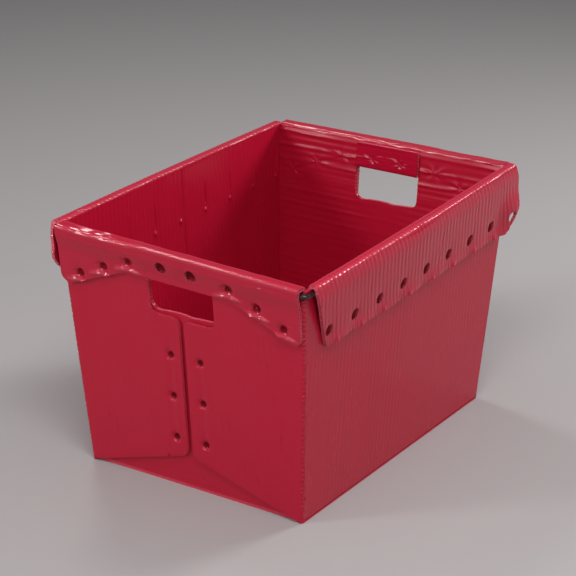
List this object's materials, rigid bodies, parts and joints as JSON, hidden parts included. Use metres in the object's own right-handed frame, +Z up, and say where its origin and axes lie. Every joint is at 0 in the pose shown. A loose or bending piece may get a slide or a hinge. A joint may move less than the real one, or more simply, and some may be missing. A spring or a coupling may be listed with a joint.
{
  "type": "open corrugated plastic nesting tote",
  "caption": "Open-topped nesting tote folded from red fluted plastic board, with a wire-stiffened folded rim, spot-welded flaps and hand holes in both ends.",
  "frame": {"origin": "middle of the underside, on the surface it stands on", "axes": "+Z up, +Y along the tote towards the back handle end, +X across it towards the right side wall"},
  "size_m": [0.353, 0.482, 0.3],
  "materials": {
    "board": "soft gloss fluted polypropylene board",
    "rim": "glossy, crushed and stretched at the folds",
    "weld": "glossy melted cup",
    "wire": "black coated steel wire"
  },
  "bodies": {
    "root": {"bottom_panel": "board", "side_wall_left": "board", "side_wall_right": "board", "end_wall_front": "board", "end_wall_back": "board", "corner_flap_front_left": "board", "corner_flap_front_right": "board", "corner_flap_back_left": "board", "corner_flap_back_right": "board", "rim_flap_left": "rim", "rim_flap_right": "rim", "rim_flap_front": "rim", "rim_flap_back": "rim", "handle_tab_front": "rim", "handle_tab_back": "rim", "rim_wire": "wire", "weld_rim_left_1": "weld", "weld_rim_left_2": "weld", "weld_rim_left_3": "weld", "weld_rim_left_4": "weld", "weld_rim_left_5": "weld", "weld_rim_left_6": "weld", "weld_rim_left_7": "weld", "weld_rim_left_8": "weld", "weld_rim_right_1": "weld", "weld_rim_right_2": "weld", "weld_rim_right_3": "weld", "weld_rim_right_4": "weld", "weld_rim_right_5": "weld", "weld_rim_right_6": "weld", "weld_rim_right_7": "weld", "weld_rim_right_8": "weld", "weld_rim_front_1": "weld", "weld_rim_front_2": "weld", "weld_rim_front_3": "weld", "weld_rim_front_4": "weld", "weld_rim_front_5": "weld", "weld_rim_front_6": "weld", "weld_rim_front_7": "weld", "weld_rim_front_8": "weld", "weld_rim_back_1": "weld", "weld_rim_back_2": "weld", "weld_rim_back_3": "weld", "weld_rim_back_4": "weld", "weld_rim_back_5": "weld", "weld_rim_back_6": "weld", "weld_rim_back_7": "weld", "weld_rim_back_8": "weld", "weld_flap_front_1": "weld", "weld_flap_front_2": "weld", "weld_flap_front_3": "weld", "weld_flap_front_4": "weld", "weld_flap_front_5": "weld", "weld_flap_front_6": "weld", "weld_flap_back_1": "weld", "weld_flap_back_2": "weld", "weld_flap_back_3": "weld", "weld_flap_back_4": "weld", "weld_flap_back_5": "weld", "weld_flap_back_6": "weld"}
  },
  "joints": []
}
